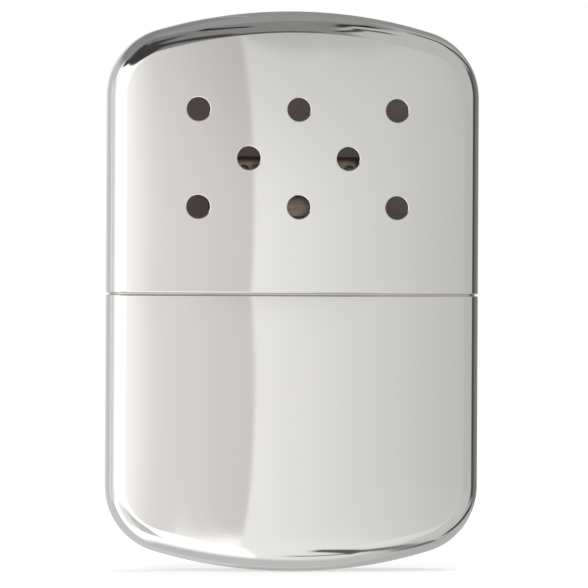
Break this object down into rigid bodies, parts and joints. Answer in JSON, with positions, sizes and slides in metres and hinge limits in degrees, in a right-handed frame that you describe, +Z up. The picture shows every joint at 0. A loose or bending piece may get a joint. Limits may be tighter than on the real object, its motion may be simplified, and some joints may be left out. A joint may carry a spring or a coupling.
{
  "type": "catalytic hand warmer",
  "caption": "Pocket hand warmer of polished drawn metal: rounded fuel tank with cotton filling, clip-on slotted catalytic burner and a vented pull-off lid.",
  "frame": {"origin": "on the ground under the lowest point of the fuel tank, in the middle of the width and of the thickness", "axes": "+Z up from the tank to the lid, +X across the width, -Y out of the vented front face, +Y out of the plain back"},
  "size_m": [0.066, 0.015, 0.0981],
  "materials": {
    "polished_chrome": "mirror polished chrome plate on drawn sheet",
    "bright_nickel": "bright nickel plate, lightly scuffed where the lid slides",
    "burner_metal": "thin stamped steel with a faint straw heat tint",
    "rivet_steel": "plain steel rivets",
    "felt": "dense off-white felt",
    "cotton": "soft absorbent cotton",
    "catalyst_fibre": "grey catalyst-coated glass fibre"
  },
  "bodies": {
    "tank": {"tank_shell": "polished_chrome", "tank_collar": "bright_nickel", "filler_neck": "bright_nickel", "neck_felt": "felt", "cotton_wads": "cotton"},
    "lid": {"lid_shell": "polished_chrome"},
    "burner": {"burner_base": "burner_metal", "burner_screen": "burner_metal", "burner_cage": "burner_metal", "burner_rivets": "rivet_steel", "catalyst_mat": "catalyst_fibre"}
  },
  "joints": [
    {"name": "lid_lift", "type": "slide", "parent": "tank", "child": "lid", "axis": [0, 0, 1], "range_m": [0, 0.032]},
    {"name": "burner_lift", "type": "slide", "parent": "tank", "child": "burner", "axis": [0, 0, 1], "range_m": [0, 0.01]}
  ]
}
